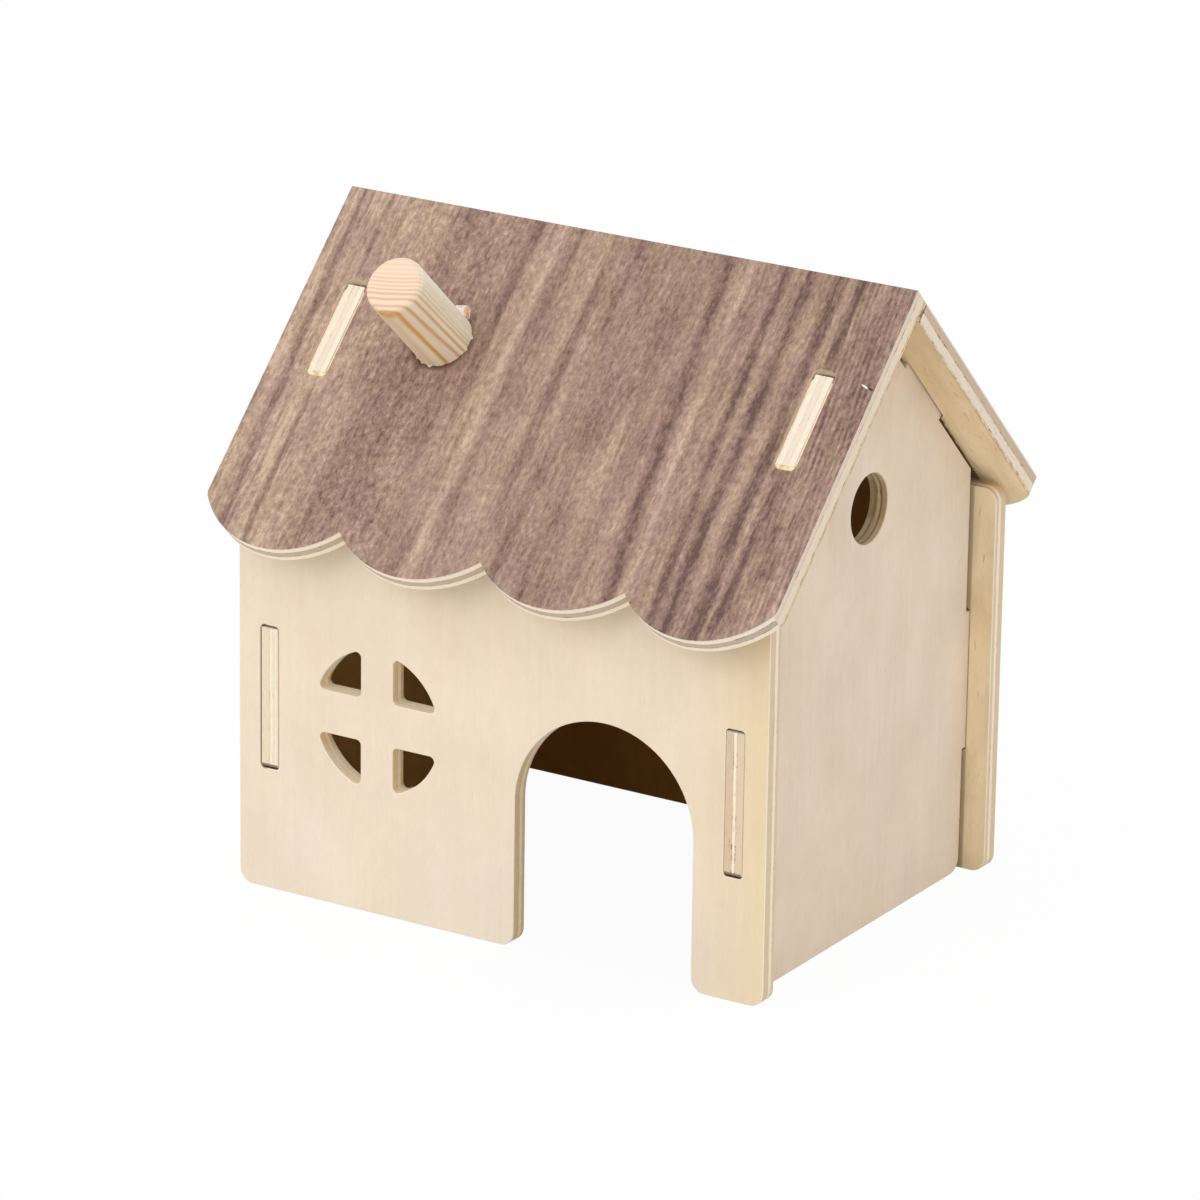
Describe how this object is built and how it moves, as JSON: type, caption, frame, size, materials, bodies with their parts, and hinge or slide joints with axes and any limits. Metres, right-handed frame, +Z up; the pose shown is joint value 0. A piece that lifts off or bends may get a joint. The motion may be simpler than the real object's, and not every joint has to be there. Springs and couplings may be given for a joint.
{
  "type": "wooden hamster house",
  "caption": "Small gabled house of tabbed plywood panels with an arched doorway, a round cross window, a scalloped walnut-faced roof and a dowel chimney",
  "frame": {"origin": "on the surface the house stands on, below the middle of the ridge and midway between the eaves", "axes": "+X along the ridge, to the right as seen facing the doorway; the doorway wall faces -Y; +Z up"},
  "size_m": [0.128, 0.1126, 0.1312],
  "materials": {
    "wall_ply": "matte",
    "roof_ply": "matte",
    "walnut_face": "matte",
    "pine": "matte"
  },
  "bodies": {
    "root": {"front_wall": "wall_ply", "back_wall": "wall_ply", "right_side_wall": "wall_ply", "left_side_wall": "wall_ply", "front_roof_panel": "roof_ply", "front_roof_veneer": "walnut_face", "back_roof_panel": "roof_ply", "back_roof_veneer": "walnut_face", "chimney_dowel": "pine"}
  },
  "joints": []
}
